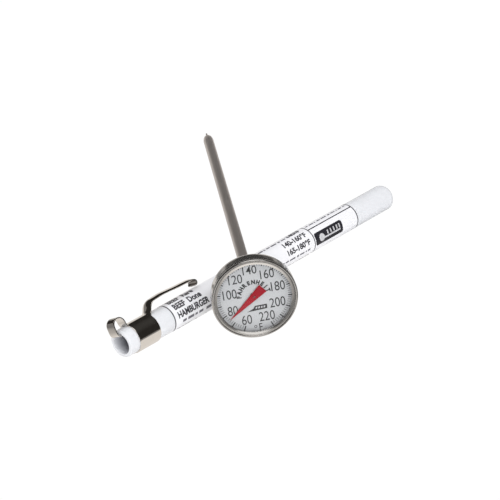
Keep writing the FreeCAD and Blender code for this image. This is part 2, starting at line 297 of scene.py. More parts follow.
def cylindrical(tree, vector):
    """(angle in radians, radius, z) of a position."""
    axes = separate(tree, vector)
    inputs = {"X": do_math(tree, "ARCTAN2", axes["Y"], axes["X"]),
              "Y": axis_distance(tree, axes), "Z": axes["Z"]}
    return add_node(tree, "CombineXYZ", inputs).outputs[0]


def apply_tone(tree, colour, painted_light):
    """The colour multiplied by painted light and shade, worked out from the piece's own coordinates."""
    if not painted_light:
        return colour
    axes = separate(tree, own_mm(tree))
    return mix(tree, "RGBA", 1.0, colour, painted_light(tree, axes), blend_type="MULTIPLY")


# ------------------------------------------------------------------ materials
def new_material(name):
    material = bpy.data.materials.new(name)
    material.use_nodes = True
    material.node_tree.nodes.clear()
    return material, material.node_tree


def output_principled(tree, inputs):
    shader = add_node(tree, "BsdfPrincipled", inputs).outputs[0]
    add_node(tree, "OutputMaterial", {"Surface": shader})


def metal(name, colour, roughness, grain, relief=0.16, spread=0.08, rough_spread=0.08,
          anisotropy=0.0, metallic=1.0, cad=False, around=False, painted_light=None):
    """Brushed or satin metal: directional grain (scale by axis) and soft handling marks.

    around lays the grain in cylindrical coordinates; relief is the strength of the bump.
    """
    material, tree = new_material(name)
    place = object_mm(tree) if cad else own_mm(tree)
    grain_place = cylindrical(tree, place) if around else place
    stretched = add_node(tree, "Mapping", {"Vector": grain_place, "Scale": grain})
    fine = noise(tree, stretched.outputs["Vector"], scale=1.0, detail=4.0, roughness=0.6)
    marks = noise(tree, place, scale=0.35, detail=3.0, roughness=0.55)
    wear = do_math(tree, "MULTIPLY_ADD", fine, 0.6, do_math(tree, "MULTIPLY", marks, 0.4))
    rough_range = (max(0.02, roughness - rough_spread), roughness + rough_spread)
    output_principled(tree, {
        "Base Color": apply_tone(tree, varied(tree, wear, colour, spread), painted_light),
        "Metallic": metallic,
        "Anisotropic": anisotropy,
        "Roughness": map_range(tree, wear, (0.3, 0.7), rough_range),
        "Normal": bump(tree, fine, relief)})
    return material


def plastic(name, colour, roughness, grain=6.0, relief=0.16, spread=0.02, subsurface=0.0,
            specular=0.5, cad=False, painted_light=None):
    """Moulded plastic, rubber or film: fine grain in gloss and bump, slow drift in colour."""
    material, tree = new_material(name)
    place = object_mm(tree) if cad else own_mm(tree)
    fine = noise(tree, place, scale=grain, detail=3.0)
    drift = noise(tree, place, scale=0.15, detail=2.0)
    inputs = {
        "Base Color": apply_tone(tree, varied(tree, drift, colour, spread), painted_light),
        "Specular IOR Level": specular,
        "Roughness": map_range(tree, fine, (0.3, 0.7), (roughness * 0.85, roughness * 1.15)),
        "Normal": bump(tree, fine, relief)}
    if subsurface:
        inputs["Subsurface Weight"] = subsurface
        inputs["Subsurface Radius"] = (0.0012, 0.0011, 0.0011)
    output_principled(tree, inputs)
    return material


def lens_material():
    """Thin clear window: light goes straight through; it mirrors by angle, with faint wear."""
    material, tree = new_material("lens_clear")
    clear = add_node(tree, "BsdfTransparent", {"Color": (0.992, 0.995, 0.996, 1)})
    wear = noise(tree, own_mm(tree), scale=0.5, detail=3.0)
    gloss = add_node(tree, "BsdfGlossy", {
        "Color": (1, 1, 1, 1), "Roughness": map_range(tree, wear, target=(0.02, 0.09))})
    # only the faces turned to the eye mirror, as light leaves the thin pane unbent
    facing = add_node(tree, "NewGeometry").outputs["Backfacing"]
    fresnel = add_node(tree, "Fresnel", {"IOR": 1.45}).outputs[0]
    share = do_math(tree, "MULTIPLY", fresnel, do_math(tree, "SUBTRACT", 1.0, facing))
    shader = mix_shader(tree, share, clear.outputs[0], gloss.outputs[0])
    add_node(tree, "OutputMaterial", {"Surface": shader})
    return material


def dial_material():
    """Satin silver dial: fine sprayed grain."""
    material, tree = new_material("dial_paint")
    grain = noise(tree, own_mm(tree), scale=7.0, detail=4.0, roughness=0.7)
    output_principled(tree, {
        "Base Color": ramp(tree, grain, [(0.33, (0.47, 0.475, 0.49)), (0.66, (0.66, 0.665, 0.68))]),
        "Metallic": 0.08,
        "Roughness": 0.5,
        "Normal": bump(tree, grain, strength=0.25, distance=0.00003)})
    return material


def ink(name, colour):
    """Printed ink with slight coverage variation."""
    material, tree = new_material(name)
    coverage = noise(tree, own_mm(tree), scale=9.0, detail=3.0)
    full = [min(1, c * 0.8) for c in colour]
    thin = [min(1, c * 1.5 + 0.01) for c in colour]
    output_principled(tree, {
        "Base Color": ramp(tree, coverage, [(0.3, full), (0.75, thin)]), "Roughness": 0.45})
    return material


def bore_tone(tree, axes):
    """Painted shade: darker with depth from the mouth, where the bore falls into shadow."""
    centimetres = do_math(tree, "MULTIPLY", axes["Z"], 0.1)
    return ramp(tree, centimetres, [(0.04, grey(1)), (0.22, (0.72, 0.72, 0.74)),
                                    (0.55, (0.30, 0.30, 0.32))])


def clip_tone(tree, axes):
    """Painted shade, a painted dark reflection, towards the hooked end of the arm, most on the outer side of the
    hook.
    """
    partial = do_math(tree, "MULTIPLY", axes["X"], math.cos(CLIP_ANGLE))
    height = do_math(tree, "MULTIPLY_ADD", axes["Y"], math.sin(CLIP_ANGLE), partial)
    # painted dark reflection: lighter low on the hook, darkest furthest out from the sheath
    painted_dark = map_range(tree, height, source=(5.0, 6.6), target=(0.85, 0.16))
    near_end = map_range(tree, axes["Z"], source=(33.5, 35.6))
    return mix(tree, "FLOAT", near_end, 1.0, painted_dark)


def bezel_tone(tree, axes):
    """Satin steel with painted light on the inner land: a painted highlight at the top, painted shade at the
    sides, paler again at the bottom.
    """
    radius = axis_distance(tree, axes)
    upness = do_math(tree, "DIVIDE", axes["Y"], radius)
    height = do_math(tree, "MULTIPLY_ADD", upness, 0.5, 0.5)     # 0 at the bottom, 1 at the top
    # painted light and shade on the land, by height round the rim
    land = ramp(tree, height, [(0.0, grey(0.80)), (0.20, grey(0.66)), (0.45, grey(0.48)),
                               (0.72, grey(0.50)), (0.88, grey(0.82)), (0.96, grey(1))])
    inside = map_range(tree, radius, source=(13.02, 12.96))
    return mix(tree, "RGBA", inside, opaque(grey(0.68)), land)


# the bezel's colour carries a painted highlight at the top of the inner land and painted shade at its sides
BEZEL_STEEL = metal("bezel_steel", (0.94, 0.925, 0.905), 0.15, grain=(1.2, 9, 22), around=True,
                    relief=0.024, anisotropy=0.2, spread=0.04, rough_spread=0.03,
                    metallic=0.96, painted_light=bezel_tone)
CASE_STEEL = metal("case_steel", (0.55, 0.54, 0.525), 0.32, grain=(1.5, 14, 14), around=True,
                   relief=0.24)
STEM_STEEL = metal("stem_steel", (0.56, 0.515, 0.49), 0.36, grain=(1.0, 6, 9), around=True,
                   relief=0.048, spread=0.06, rough_spread=0.03, metallic=0.84)
NUT_STEEL = metal("nut_steel", (0.60, 0.58, 0.55), 0.28, grain=(8, 8, 0.8), cad=True)
RING_ALUMINIUM = metal("ring_aluminium", (0.47, 0.465, 0.46), 0.14, grain=(1.5, 12, 12),
                       around=True, relief=0.032, spread=0.03, metallic=0.8)
BRASS = metal("bush_brass", (0.72, 0.58, 0.32), 0.30, grain=(8, 8, 2), cad=True)
SPRING_STEEL = metal("spring_steel", (0.5, 0.5, 0.52), 0.3, grain=(6, 6, 6), cad=True)
BIMETAL = metal("bimetal", (0.56, 0.50, 0.42), 0.34, grain=(3, 3, 3), cad=True, spread=0.2)
SPINDLE_STEEL = metal("spindle_steel", (0.6, 0.6, 0.6), 0.25, grain=(2, 2, 2), cad=True)
# the clip's colour carries painted shade at the hooked end, standing in for dark reflections
CLIP_NICKEL = metal("clip_nickel", (0.84, 0.805, 0.765), 0.07, grain=(5, 5, 5), relief=0.048,
                    spread=0.05, rough_spread=0.03, painted_light=clip_tone)
RUBBER = plastic("gasket_rubber", (0.42, 0.42, 0.42), 0.7, cad=True, relief=0.4)
SUPPORT_PLASTIC = plastic("support_plastic", (0.05, 0.05, 0.055), 0.45, cad=True)
POINTER_RED = plastic("pointer_red", (0.33, 0.006, 0.017), 0.42, grain=10, spread=0.12,
                      specular=0.25)
SHEATH_PLASTIC = plastic("sheath_plastic", (0.74, 0.75, 0.78), 0.26, grain=3, relief=0.08,
                         subsurface=0.12)
# the bore's colour carries painted shade, darker deeper inside
BORE_PLASTIC = plastic("sheath_plastic_bore", (0.80, 0.81, 0.84), 0.45, grain=3, relief=0.08,
                       painted_light=bore_tone)
LABEL_FILM = plastic("label_film", (0.85, 0.85, 0.88), 0.32, grain=8, relief=0.064)
LENS_CLEAR = lens_material()
DIAL_PAINT = dial_material()
DIAL_INK = ink("dial_ink", (0.022, 0.022, 0.024))
LABEL_INK = ink("label_ink", (0.016, 0.015, 0.022))
GREY_INK = ink("label_ink_grey", (0.10, 0.10, 0.12))
WHITE_INK = ink("label_white_ink", (0.50, 0.50, 0.52))

# every other CAD piece is case steel
CAD_MATERIALS = {
    "calibration_nut": NUT_STEEL, "upper_guide_bush": BRASS, "lower_guide_bush": BRASS,
    "helix_anchor": BRASS, "bimetal_helix": BIMETAL, "friction_washer": SPRING_STEEL,
    "retaining_collar": BRASS, "lens_gasket": RUBBER, "dial_support_ring": SUPPORT_PLASTIC,
    "spindle": SPINDLE_STEEL, "helix_collar": BRASS}
for cad_name in cad_pieces:
    slots = cad_pieces[cad_name].data.materials
    slots.clear()
    slots.append(CAD_MATERIALS.get(cad_name, CASE_STEEL))

# ------------------------------------------------------------------ head
CUP_R = 13.36       # outside of the cup, inside of the bezel's skirt
CUP_BORE_R = 12.96
LENS_TOP = 0.8
RING_TOP = 1.7      # also the top of the cup
DIAL_TOP = 2.25
SIDE_TOP, SIDE_BOTTOM = (13.8, 0.35), (13.61, 4.85)     # ends of the bezel's tapered side


def on_side(depth, offset=0.0):
    """A point on the bezel's tapered side, moved outwards by the offset."""
    share = (depth - SIDE_TOP[1]) / (SIDE_BOTTOM[1] - SIDE_TOP[1])
    return (SIDE_TOP[0] + (SIDE_BOTTOM[0] - SIDE_TOP[0]) * share + offset, depth)


def bezel_outline():
    """(radius, depth) up the outside, over the bead and down the sloping inner land."""
    outline = [(CUP_R, LENS_TOP), (CUP_R, 5.02), (13.44, 5.02), (13.53, 4.985), (13.585, 4.93),
               SIDE_BOTTOM]
    outline += [on_side(depth) for depth in (3.9, 3.0, 2.1, 1.45)]
    groove = [(1.30, -0.01), (1.22, -0.06), (1.12, -0.085), (1.02, -0.06), (0.94, -0.01)]
    outline += [on_side(depth, offset) for depth, offset in groove]
    outline.append(on_side(0.82))
    outline += arc(13.45, 0.35, 0.35, 0, -180, 25)
    outline += [(13.085, 0.385), (13.05, 0.39), (13.02, 0.35), (13.0, 0.27), (12.97, 0.235),
                (12.92, 0.235), (12.5, 0.35), (12.06, 0.468), (11.995, 0.495), (11.96, 0.54),
                (11.95, 0.6), (11.95, LENS_TOP)]
    return outline


# corners are (radius, depth, fillet radius)
CUP = [(CUP_BORE_R, RING_TOP, 0.05), (CUP_R, RING_TOP, 0.05), (CUP_R, 5.6, 0.6),
       (6.5, 5.6, 0.12), (6.0, 5.3, 0.12), (2.65, 5.3, 0.05), (2.65, 4.9, 0.05),
       (5.9, 4.9, 0.1), (6.4, 5.2, 0.1), (CUP_BORE_R, 5.2, 0.2)]
LENS = [(0, LENS_TOP, 0), (13.3, LENS_TOP, 0.08), (13.3, 1.4, 0.08), (0, 1.4, 0)]
DIAL_RING = [(12.45, RING_TOP, 0.08), (CUP_BORE_R, RING_TOP, 0.03),
             (CUP_BORE_R, DIAL_TOP, 0.03), (12.45, DIAL_TOP, 0.03)]
DIAL = [(1.3, DIAL_TOP, 0.03), (12.9, DIAL_TOP, 0.03), (12.9, 2.55, 0.03), (1.3, 2.55, 0.03)]

add_piece("bezel_rim", "head", lathe_down(bezel_outline(), 256), BEZEL_STEEL,
          "bezel_ring")
add_piece("case_back", "head", lathe_down(rounded(CUP), 224), CASE_STEEL,
          "case_cup")
add_piece("lens_window", "head", lathe_down(rounded(LENS), 192), LENS_CLEAR,
          "lens")
add_piece("dial_ring", "head", lathe_down(rounded(DIAL_RING), 192), RING_ALUMINIUM,
          "dial_retainer_ring")
add_piece("dial_face", "head", lathe_down(rounded(DIAL), 192), DIAL_PAINT,
          "dial_plate")


# ------------------------------------------------------------------ flat print, z from 0 to 1
def bmesh_data(bm):
    bm.verts.ensure_lookup_table()
    bm.verts.index_update()
    points = np.array([v.co for v in bm.verts], float).reshape(-1, 3)
    return points, [[v.index for v in f.verts] for f in bm.faces]


def letters(text, size, weight=0.0, x_scale=1.0):
    """Closed solid letters; weight thickens the strokes."""
    curve = bpy.data.curves.new("tmp", "FONT")
    curve.body = text
    curve.size = size
    curve.offset = weight
    curve.extrude = 0.5
    curve.resolution_u = 5
    curve.align_x, curve.align_y = "LEFT", "BOTTOM_BASELINE"
    holder = bpy.data.objects.new("tmp", curve)
    bpy.context.scene.collection.objects.link(holder)
    bpy.context.view_layer.update()
    graph = bpy.context.evaluated_depsgraph_get()
    mesh = bpy.data.meshes.new_from_object(holder.evaluated_get(graph))
    bpy.data.objects.remove(holder)
    bpy.data.curves.remove(curve)
    bm = bmesh.new()
    bm.from_mesh(mesh)
    bpy.data.meshes.remove(mesh)
    bmesh.ops.remove_doubles(bm, verts=bm.verts, dist=1e-4 * size)
    bmesh.ops.dissolve_degenerate(bm, edges=bm.edges, dist=1e-5 * size)
    for vertex in bm.verts:
        vertex.co.x *= x_scale
    points, faces = bmesh_data(bm)
    bm.free()
    points[:, 2] = (points[:, 2] > 0).astype(float)
    return points, faces


def centred_text(text, size, x, y, angle, **style):
    """Letters centred at (x, y) and turned by angle."""
    points, faces = letters(text, size, **style)
    points[:, :2] -= (points[:, :2].max(0) + points[:, :2].min(0)) / 2
    return turned(points, angle, x, y), faces


def merge(parts):
    points, faces, offset = [], [], 0
    for part_points, part_faces in parts:
        points.append(part_points)
        faces += [[i + offset for i in face] for face in part_faces]
        offset += len(part_points)
    return np.vstack(points), faces


def slab(polygon):
    """A flat polygon as a closed slab."""
    n = len(polygon)
    points = np.array([(x, y, z) for z in (0.0, 1.0) for x, y in polygon])
    faces = [list(range(n))[::-1], list(range(n, 2 * n))]
    faces += [[i, (i + 1) % n, n + (i + 1) % n, n + i] for i in range(n)]
    return points, faces


def box(x0, y0, x1, y1):
    return slab([(x0, y0), (x1, y0), (x1, y1), (x0, y1)])


def round_box(x0, y0, x1, y1, radius):
    points = []
    for x, y, start in ((x1 - radius, y1 - radius, 0), (x0 + radius, y1 - radius, 90),
                        (x0 + radius, y0 + radius, 180), (x1 - radius, y0 + radius, 270)):
        points += arc(x, y, radius, start, start + 90, 7)
    return slab(points)


# ------------------------------------------------------------------ dial print
INK_T = 0.014
INK_SINK = 0.002                # the print starts this far under its surface
SCALE_X, SCALE_Y = 0.065, -0.05     # the scale is printed a little off the rim's centre
PRINT_ROLL = math.radians(9.2)
FIRST_MARK, LAST_MARK, MARK_STEP = 60, 220, 2   # degrees Fahrenheit
FIRST_ANGLE = -103.0            # degrees, where the first mark stands
ANGLE_PER_F = 1.9725
TICK_INNER_R = 10.8


def print_on_dial(name, parts, material, depth=DIAL_TOP, thickness=INK_T):
    points, faces = merge(parts)
    points[:, 2] = -(depth + INK_SINK) + points[:, 2] * (thickness + INK_SINK)
    add_piece(name, "head", (points, faces), material, sharp=20)


def dial_tick(mark):
    outer, half = (12.45, 0.19) if mark % 10 == 0 else (11.8, 0.07)
    corners = [(TICK_INNER_R, half), (TICK_INNER_R, -half), (outer, -half), (outer, half)]
    angle = math.radians(FIRST_ANGLE - ANGLE_PER_F * (mark - FIRST_MARK))
    return slab(turned(corners, angle, SCALE_X, SCALE_Y))


print_on_dial("dial_ticks", [dial_tick(mark) for mark in
                             range(FIRST_MARK, LAST_MARK + 1, MARK_STEP)], DIAL_INK)

# (number, letter size, x, y)
NUMBERS = [(60, 4.75, -2.065, -8.39), (80, 4.75, -6.625, -5.04), (100, 4.75, -7.795, 0.75),
           (120, 4.6, -6.195, 6.02), (140, 4.1, -1.745, 9.16), (160, 4.55, 3.865, 7.74),
           (180, 4.75, 7.505, 3.38), (200, 4.75, 7.565, -2.36), (220, 4.75, 4.325, -7.16)]
NUMBER_WIDTH = 3.5      # size times width scale, the same for every number
print_on_dial("dial_numbers",
              [centred_text(str(number), size, x, y, PRINT_ROLL, weight=0.012,
                            x_scale=NUMBER_WIDTH / size) for number, size, x, y in NUMBERS],
              DIAL_INK)


def degree_ring(x=0.82, y=-10.9, inner=0.30, outer=0.50, segments=28):
    points = []
    for k in range(segments):
        angle = 2 * math.pi * k / segments
        for radius, z in ((inner, 0.0), (outer, 0.0), (outer, 1.0), (inner, 1.0)):
            points.append((x + radius * math.cos(angle), y + radius * math.sin(angle), z))
    return points, bridge([list(range(4 * k, 4 * k + 4)) for k in range(segments)])


unit_letter = centred_text("F", 4.0, x=2.55, y=-11.13, angle=PRINT_ROLL, x_scale=0.70)
print_on_dial("dial_unit", [unit_letter, degree_ring()], DIAL_INK)


def legend_letters(text="FAHRENHEIT", x=-0.04, y=0.2, radius=4.78, start=186.0, end=22.0):
    """Letters on an arc above the centre."""
    parts = []
    for i, letter in enumerate(text):
        angle = math.radians(start + (end - start) * i / (len(text) - 1))
        parts.append(centred_text(letter, 1.95, x + radius * math.cos(angle),
                                  y + radius * math.sin(angle), angle - math.pi / 2,
                                  weight=0.125, x_scale=0.84))
    return parts


print_on_dial("dial_legend", legend_letters(), DIAL_INK)


def bar_slab(outline):
    """A slab drawn about the middle of the bar under the dial's centre."""
    return slab(turned(outline, PRINT_ROLL, 1.79, -4.1))


BAR = [(-4.05, -1.02), (2.5, -0.72), (2.55, 0.85), (-1.35, 0.8), (-1.95, -0.1)]
print_on_dial("dial_bar", [bar_slab(BAR)], DIAL_INK)
print_on_dial("dial_bar_marks",
              [bar_slab([(x, -0.3), (x + 0.5, -0.3), (x + 0.65, 0.36), (x + 0.15, 0.36)])
               for x in (-1.25, -0.4, 0.45, 1.3)],
              WHITE_INK, depth=DIAL_TOP - INK_T, thickness=0.008)

# ------------------------------------------------------------------ pointer
POINTER_ANGLE = math.radians(-132.6)
POINTER_TIP, POINTER_TAIL = 10.9, -3.95     # along the blade from the centre
TAIL_HALF, TIP_HALF = 1.7, 0.06             # half widths
BLADE_TOP, BLADE_T, BLADE_EDGE = 1.80, 0.17, 0.05


def blade_mesh():
    """Long flat triangle with a blunt tail and bevelled edges."""
    points, rows = [], []
    bevel_low = BLADE_T - BLADE_EDGE
    for x in np.linspace(POINTER_TAIL, POINTER_TIP, 40):
        share = (POINTER_TIP - x) / (POINTER_TIP - POINTER_TAIL)
        half = TIP_HALF + (TAIL_HALF - TIP_HALF) * share
        inset = half - min(BLADE_EDGE, half * 0.3)
        # (across the blade, depth below its top)
        section = [(-half, BLADE_EDGE), (-inset, 0.0), (-half * 0.5, 0.0), (0.0, 0.0),
                   (half * 0.5, 0.0), (inset, 0.0), (half, BLADE_EDGE), (half, bevel_low),
                   (inset, BLADE_T), (0.0, BLADE_T), (-inset, BLADE_T), (-half, bevel_low)]
        rows.append(list(range(len(points), len(points) + len(section))))
        points += [(x, y, -(BLADE_TOP + depth)) for y, depth in section]
    faces = bridge(rows, closed=False) + [rows[0][::-1], rows[-1]]
    return turned(points, POINTER_ANGLE), faces


# (radius, depth, fillet radius)
BOSS = [(0.0, 1.54, 0.0), (0.3, 1.54, 0.05), (0.34, 1.60, 0.02), (0.8, 1.62, 0.07),
        (0.8, BLADE_TOP, 0.0), (1.0, 1.97, 0), (1.0, 2.37, 0.05), (0.0, 2.37, 0)]
add_piece("pointer_blade", "pointer", blade_mesh(), POINTER_RED, "pointer",
          sharp=25)
add_piece("pointer_boss", "pointer", lathe_down(rounded(BOSS), 64), POINTER_RED,
          "pointer_hub")

# ------------------------------------------------------------------ stem
STEM_R, STEM_BORE_R = 1.85, 1.6
STEM_TOP, STEM_END = 3.95, 127.8            # depths
STEM_SEGMENTS = 128
STEM_CHAMFER, CHAMFER_LENGTH = 0.02, 0.05
DIMPLE_DEPTH_ALONG, DIMPLE_ANGLE = 72.2, math.radians(102.0)
DIMPLE_R, DIMPLE_SINK = 0.46, 0.13
DIMPLE_LIP = 0.012      # height of the raised lip, which reaches out to 1.5 dimple radii


def stem_depths():
    """Ring depths, close together at the dimple."""
    depths = [STEM_TOP, STEM_TOP + CHAMFER_LENGTH]
    depth = 8.0
    while depth < STEM_END - 0.5:
        depths.append(depth)
        away = abs(depth - DIMPLE_DEPTH_ALONG)
        depth += 0.09 if away < 1.2 else (0.6 if away < 3 else 4.0)
    return depths + [STEM_END - CHAMFER_LENGTH, STEM_END]


def stem_radius(angle, depth):
    radius = STEM_R - STEM_CHAMFER if depth in (STEM_TOP, STEM_END) else STEM_R
    turn = (angle - DIMPLE_ANGLE + math.pi) % (2 * math.pi) - math.pi
    square = (turn * STEM_R) ** 2 + (depth - DIMPLE_DEPTH_ALONG) ** 2
    if square < (DIMPLE_R * 1.5) ** 2:
        share = math.sqrt(square) / DIMPLE_R
        if share < 1:
            radius -= DIMPLE_SINK * (1 - share * share)
        else:
            radius += DIMPLE_LIP * math.sin((share - 1) / 0.5 * math.pi)
    return radius


def stem_mesh():
    """Tube with one round dimple in its side."""
    points, rows = [], []

    def add_ring(depth, radius_at):
        rows.append(list(range(len(points), len(points) + STEM_SEGMENTS)))
        for k in range(STEM_SEGMENTS):
            angle = 2 * math.pi * k / STEM_SEGMENTS
            radius = radius_at(angle, depth)
            points.append((radius * math.cos(angle), radius * math.sin(angle), -depth))

    for depth in stem_depths():
        add_ring(depth, stem_radius)
    for depth in (STEM_END, STEM_TOP):
        add_ring(depth, lambda angle, depth: STEM_BORE_R)
    return points, bridge(rows)


# (radius, depth): a plug inside the tube, then the taper to a blunt pin
TIP = [(0.0, 125.8), (STEM_BORE_R, 125.8), (STEM_BORE_R, STEM_END), (STEM_R, STEM_END),
       (1.835, 128.3), (1.80, 128.9), (1.735, 129.5), (1.64, 130.1), (1.51, 130.65),
       (1.34, 131.15), (1.15, 131.55), (0.93, 131.92), (0.73, 132.25), (0.57, 132.55),
       (0.455, 132.85), (0.385, 133.2), (0.352, 133.7), (0.335, 134.4), (0.32, 135.1),
       (0.30, 135.24), (0.24, 135.34), (0.14, 135.39), (0.0, 135.4)]
add_piece("stem", "stem", stem_mesh(), STEM_STEEL, "stem_tube")
add_piece("stem_tip", "stem", lathe_down(TIP, 96), STEM_STEEL, "tip_plug")

# ------------------------------------------------------------------ sheath
SHEATH_R, BORE_R = 4.5, 3.4
SHEATH_END, BORE_END = 133.8, 132.7
LIP_R = 0.6                         # rounding of the mouth's outer edge
END_X, END_Z = 2.0, 131.3           # centre of the rounding at the closed end
SHEATH_INVERSE = np.linalg.inv(SHEATH_FRAME)


def sheath_outline():
    """(radius, z) from the mouth down the outside, round the end and back up the bore."""
    outline = [(BORE_R, 0.24), (3.42, 0.11), (3.48, 0.03), (3.57, 0.0)]
    outline += arc(SHEATH_R - LIP_R, LIP_R, LIP_R, -90, 0, 10)
    outline += [(SHEATH_R, z) for z in (6, 12, 19, 35, 60, 88, 105, 112, 118, 126)]
    outline += arc(END_X, END_Z, SHEATH_R - END_X, 0, 88, 20)
    outline += [(1.4, SHEATH_END), (0.0, SHEATH_END), (0.0, BORE_END), (1.5, BORE_END)]
    outline += arc(END_X, END_Z, BORE_R - END_X, 88, 0, 10)
    return outline + [(BORE_R, z) for z in (110, 80, 50, 20, 8, 3, 1)]


def sheath_face_material(centre):
    """1 on the wall and floor of the bore, 0 elsewhere."""
    x, y, z = (SHEATH_INVERSE[:3, :3] @ np.array(centre) + SHEATH_INVERSE[:3, 3]) * 1000
    return int(math.hypot(x, y) < BORE_R + 0.03 and 0.1 < z < BORE_END + 0.2)


add_piece("sheath_body", "sheath", lathe(sheath_outline(), 160), [SHEATH_PLASTIC, BORE_PLASTIC],
          "sheath_tube", face_material=sheath_face_material)

# ------------------------------------------------------------------ label
LABEL_R = 4.56
LABEL_EDGE_R = 4.555
LABEL_START, LABEL_END = 19.9, 112.6
LABEL_INK_T = 0.012
LABEL_SINK = 0.003      # the print starts this far under its surface
WRAP_STEP = 0.2         # print is cut this finely to follow the curve

label_outline = [(SHEATH_R, LABEL_START), (LABEL_EDGE_R, LABEL_START)]
label_outline += [(LABEL_R, z) for z in (19.94, 30, 45, 60, 75, 90, 105, 112.56)]
label_outline += [(LABEL_EDGE_R, LABEL_END), (SHEATH_R, LABEL_END)]
add_piece("sheath_label", "sheath", lathe(label_outline, 192), LABEL_FILM,
          "label_sleeve")


def wrap(name, parts, material, thickness=LABEL_INK_T, base=LABEL_R):
    """Flat print wrapped on the label, its x along the sheath and its y up the letters.

    Each part is (mesh, start along the sheath, angle round it in degrees).
    """
    wrapped = []
    for (points, faces), start, angle in parts:
        bm = bmesh.new()
        vertices = [bm.verts.new(point) for point in points]
        for face in faces:
            # letter meshes may repeat a face or a corner, which bmesh refuses
            try:
                bm.faces.new([vertices[i] for i in face])
            except ValueError:
                pass
        low, high = points[:, 1].min(), points[:, 1].max()
        y = math.floor(low / WRAP_STEP) * WRAP_STEP
        while y < high:
            bmesh.ops.bisect_plane(bm, geom=bm.verts[:] + bm.edges[:] + bm.faces[:], dist=1e-6,
                                   plane_co=(0, y, 0), plane_no=(0, 1, 0))
            y += WRAP_STEP
        flat, flat_faces = bmesh_data(bm)
        bm.free()
        radius = base - LABEL_SINK + flat[:, 2] * (thickness + LABEL_SINK)
        turn = math.radians(angle) - flat[:, 1] / base
        curved = np.stack([radius * np.cos(turn), radius * np.sin(turn), start + flat[:, 0]], 1)
        wrapped.append((curved, flat_faces))
    add_piece(name, "sheath", merge(wrapped), material, sharp=20)


def line_text(text, size, from_end=False, **style):
    """Letters centred on y = 0 that start at x = 0, or end there."""
    points, faces = letters(text, size, **style)
    points[:, 1] -= size * 0.36
    points[:, 0] -= points[:, 0].max() if from_end else points[:, 0].min()
    return points, faces


# (angle round the sheath in degrees, food, temperatures)
LABEL_ROWS = [(72, "BEEF  Rare", "140°F"), (110, "BEEF  Done", "140-160°F"),
              (148, "HAMBURGER", "165-180°F"), (226, "PORK  Roast", "160-170°F"),
              (264, "HAM  Baked", "140-150°F"), (302, "TURKEY", "175-185°F"),
              (338, "FISH", "140-150°F"), (32, "LAMB  Done", "160-170°F")]
row_parts = []
for row_angle, food, temperatures in LABEL_ROWS:
    food_scale = 0.89 if "  " in food else 0.83
    row_parts.append((line_text(food, 2.9, weight=0.12, x_scale=food_scale), 22.0, row_angle))
    row_parts.append((line_text(temperatures, 2.6, from_end=True, weight=0.10, x_scale=1.10),
                      87.2, row_angle))
wrap("label_rows", row_parts, LABEL_INK)


def dash_row(start, end, angle, half_height, pattern):
    """Small print too fine to read: dashes of uneven length, begun at a step of the pattern."""
    parts = []
    x = start
    while x < end - 0.6:
        width = min(0.7 + 0.55 * ((pattern * 7) % 5), end - x)
        half = half_height * (0.8 + 0.1 * (pattern % 3))
        dash = slab([(0.1, -half), (width, -half), (width + 0.1, half), (0.2, half)])
        parts.append((dash, x, angle))
        x += width + 0.45 + 0.15 * (pattern % 2)
        pattern += 1
    return parts


# (start, end, angle, half height, pattern step)
DASH_ROWS = [(23.4, 33.0, 181, 0.5, 1), (34.4, 38.6, 181, 0.5, 2), (69.6, 86.6, 182, 0.34, 4),
             (60.6, 86.6, 77, 0.42, 2), (90.2, 111.4, 76, 0.36, 3)]
wrap("label_small_print", [part for row in DASH_ROWS for part in dash_row(*row)], GREY_INK)


def ring_line(start, end):
    low, high = LABEL_R - LABEL_SINK, LABEL_R + LABEL_INK_T
    return lathe([(low, start), (high, start), (high, end), (low, end)], 192)


RING_LINES = [(19.93, 20.38), (89.1, 89.5), (112.14, 112.56)]
add_piece("label_ring_lines", "sheath", merge([ring_line(*line) for line in RING_LINES]),
          LABEL_INK)
wrap("label_box_line", [(box(0, -0.21, 22.9, 0.21), 89.4, 101)], LABEL_INK)

# dark block with a thermometer pictogram
BLOCK_START, BLOCK_ANGLE = 89.9, 157
block_half = math.radians(57) * LABEL_R / 2
wrap("label_block", [(round_box(0, -block_half, 14.3, block_half, 0.8), BLOCK_START,
                      BLOCK_ANGLE)], LABEL_INK)
sign = [slab(arc(3.3, -0.15, 1.35, 0, 360, 29)[:-1]), round_box(4.2, -0.95, 13.0, -0.35, 0.27)]
sign += [box(x, -0.1, x + 0.55, 1.35) for x in (6.3, 7.9, 9.5, 11.1, 12.45)]
wrap("label_block_sign", [(part, BLOCK_START, BLOCK_ANGLE) for part in sign], WHITE_INK,
     base=LABEL_R + LABEL_INK_T, thickness=0.008)

# ------------------------------------------------------------------ pocket clip
CLIP_T = 0.38
CLIP_R = SHEATH_R + CLIP_T / 2      # middle of the sheet where it hugs the sheath
ARM_HALF, LOOP_HALF, ROOT_HALF = 2.25, 1.9, 3.05    # half widths
BAND_START, BAND_END = 3.9, 13.2
GAP_ANGLE, GAP_HALF = 238, 6        # degrees, the opening in the band
COLUMNS_BEFORE = 19                 # columns of the band before those of the arm

# paths of the sheet's middle: (distance along the sheath, radius from its axis)
ARM = [(BAND_END, CLIP_R), (13.55, 4.76), (14.1, 5.08), (14.6, 5.8), (15.15, 6.7),
       (15.95, 7.55), (16.9, 8.02), (19.3, 8.28), (21.6, 8.38), (24.1, 8.28), (28.4, 8.03),
       (31.8, 7.93), (33.9, 7.8), (35.2, 7.52), (35.98, 7.1), (36.4, 6.5), (36.33, 5.9),
       (35.95, 5.48), (35.4, 5.24)]
LOOP = [(BAND_START, CLIP_R), (3.68, 5.05), (3.52, 5.5)]
LOOP += arc(1.2, 5.87, 2.3, 4, 180, 14)
LOOP += [(-1.1, 4.9), (-1.07, 4.1), (-0.93, 3.4), (-0.52, 2.82), (0.08, 2.5), (0.75, 2.36)]


